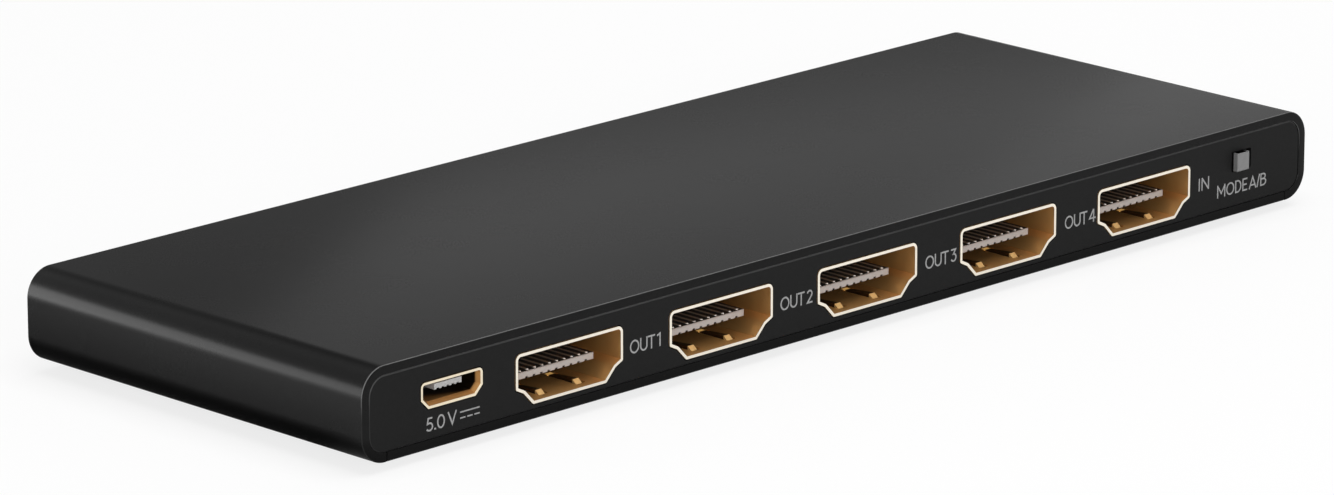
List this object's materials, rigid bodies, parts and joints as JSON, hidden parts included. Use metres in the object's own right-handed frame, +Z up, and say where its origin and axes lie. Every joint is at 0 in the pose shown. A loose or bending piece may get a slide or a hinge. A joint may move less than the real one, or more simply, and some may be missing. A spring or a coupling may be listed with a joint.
{
  "type": "hdmi splitter",
  "caption": "Slim black metal video splitter box: one input and a row of output sockets, a small power socket and a slide switch along its front.",
  "frame": {"origin": "the middle of the footprint, on the surface that the rubber feet stand on", "axes": "+X to the right along the socket face, +Y into the case away from the sockets, +Z up"},
  "size_m": [0.137, 0.0492, 0.0106],
  "materials": {
    "case_metal": "satin black anodised, fine bead-blasted grain",
    "panel_metal": "matte black anodised, flat",
    "foot_rubber": "matte black rubber",
    "screw_steel": "bright zinc-plated steel",
    "post_brass": "plain turned brass",
    "film": "thin clear polyester film",
    "board": "green solder mask over glass-fibre laminate",
    "socket_metal": "thin pale-gold plated sheet steel, folded",
    "socket_plastic": "grey moulded plastic",
    "contact_gold": "gold-plated spring metal",
    "knob_plastic": "mid-grey moulded plastic",
    "switch_plastic": "black moulded plastic",
    "chip_black": "black moulding compound",
    "soft_pad": "soft pale-blue heat pad",
    "tinned": "tin-plated metal",
    "ferrite": "dark sintered ferrite",
    "copper": "varnished copper wire",
    "tank_ceramic": "light-brown fired ceramic",
    "resistor_black": "black glazed ceramic",
    "led_plastic": "white moulded lens",
    "clear_plastic": "clear acrylic"
  },
  "bodies": {
    "case": {"case_sleeve": "case_metal", "bottom_cover": "case_metal", "front_panel": "panel_metal", "rear_panel": "panel_metal", "rubber_feet": "foot_rubber", "cover_screws": "screw_steel", "board_screws": "screw_steel", "standoffs": "post_brass", "insulating_sheet": "film", "circuit_board": "board", "power_socket_shell": "socket_metal", "power_socket_insulator": "socket_plastic", "power_socket_contacts": "contact_gold", "switch_cover": "socket_metal", "switch_base": "switch_plastic", "switch_terminals": "contact_gold", "splitter_chip": "chip_black", "thermal_pad": "soft_pad", "memory_chips": "chip_black", "firmware_chip": "chip_black", "chip_leads": "tinned", "regulator_chips": "chip_black", "inductor_cores": "ferrite", "inductor_coils": "copper", "tank_capacitors": "tank_ceramic", "crystal": "tinned", "guard_chips": "chip_black", "small_resistors": "resistor_black", "small_capacitors": "tank_ceramic", "status_leds": "led_plastic", "light_guides": "clear_plastic", "out1_shell": "socket_metal", "out1_insulator": "socket_plastic", "out1_contacts": "contact_gold", "out2_shell": "socket_metal", "out2_insulator": "socket_plastic", "out2_contacts": "contact_gold", "out3_shell": "socket_metal", "out3_insulator": "socket_plastic", "out3_contacts": "contact_gold", "out4_shell": "socket_metal", "out4_insulator": "socket_plastic", "out4_contacts": "contact_gold", "in_shell": "socket_metal", "in_insulator": "socket_plastic", "in_contacts": "contact_gold"},
    "knob": {"switch_knob": "knob_plastic", "switch_wiper": "contact_gold"}
  },
  "joints": [
    {"name": "switch_slide", "type": "slide", "parent": "case", "child": "knob", "axis": [1, 0, 0], "range_m": [0, 0.0008]}
  ]
}
